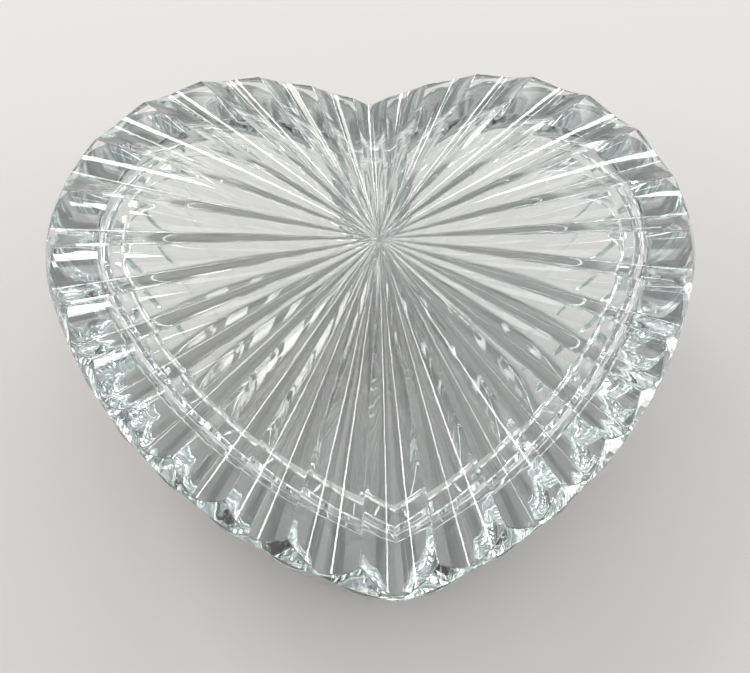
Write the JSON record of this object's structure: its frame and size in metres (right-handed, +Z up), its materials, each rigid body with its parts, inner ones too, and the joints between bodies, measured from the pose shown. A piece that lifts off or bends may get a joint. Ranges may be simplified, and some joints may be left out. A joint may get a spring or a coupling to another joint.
{
  "type": "trinket box",
  "caption": "Heart-shaped clear crystal trinket box: a deep fluted bowl with a loose lid cut in a sunburst of pleats.",
  "frame": {"origin": "under the middle of the box's footprint, on the plane it stands on", "axes": "+Z up, -Y towards the heart's tip, +Y towards its notch, +X towards the right lobe"},
  "size_m": [0.1314, 0.1098, 0.0499],
  "materials": {
    "bowl_crystal": "polished clear lead crystal",
    "lid_crystal": "polished clear lead crystal"
  },
  "bodies": {
    "bowl": {"bowl": "bowl_crystal"},
    "lid": {"lid": "lid_crystal"}
  },
  "joints": [
    {"name": "lid_lift", "type": "slide", "parent": "bowl", "child": "lid", "axis": [0, 0, 1], "range_m": [0, 0.06]}
  ]
}
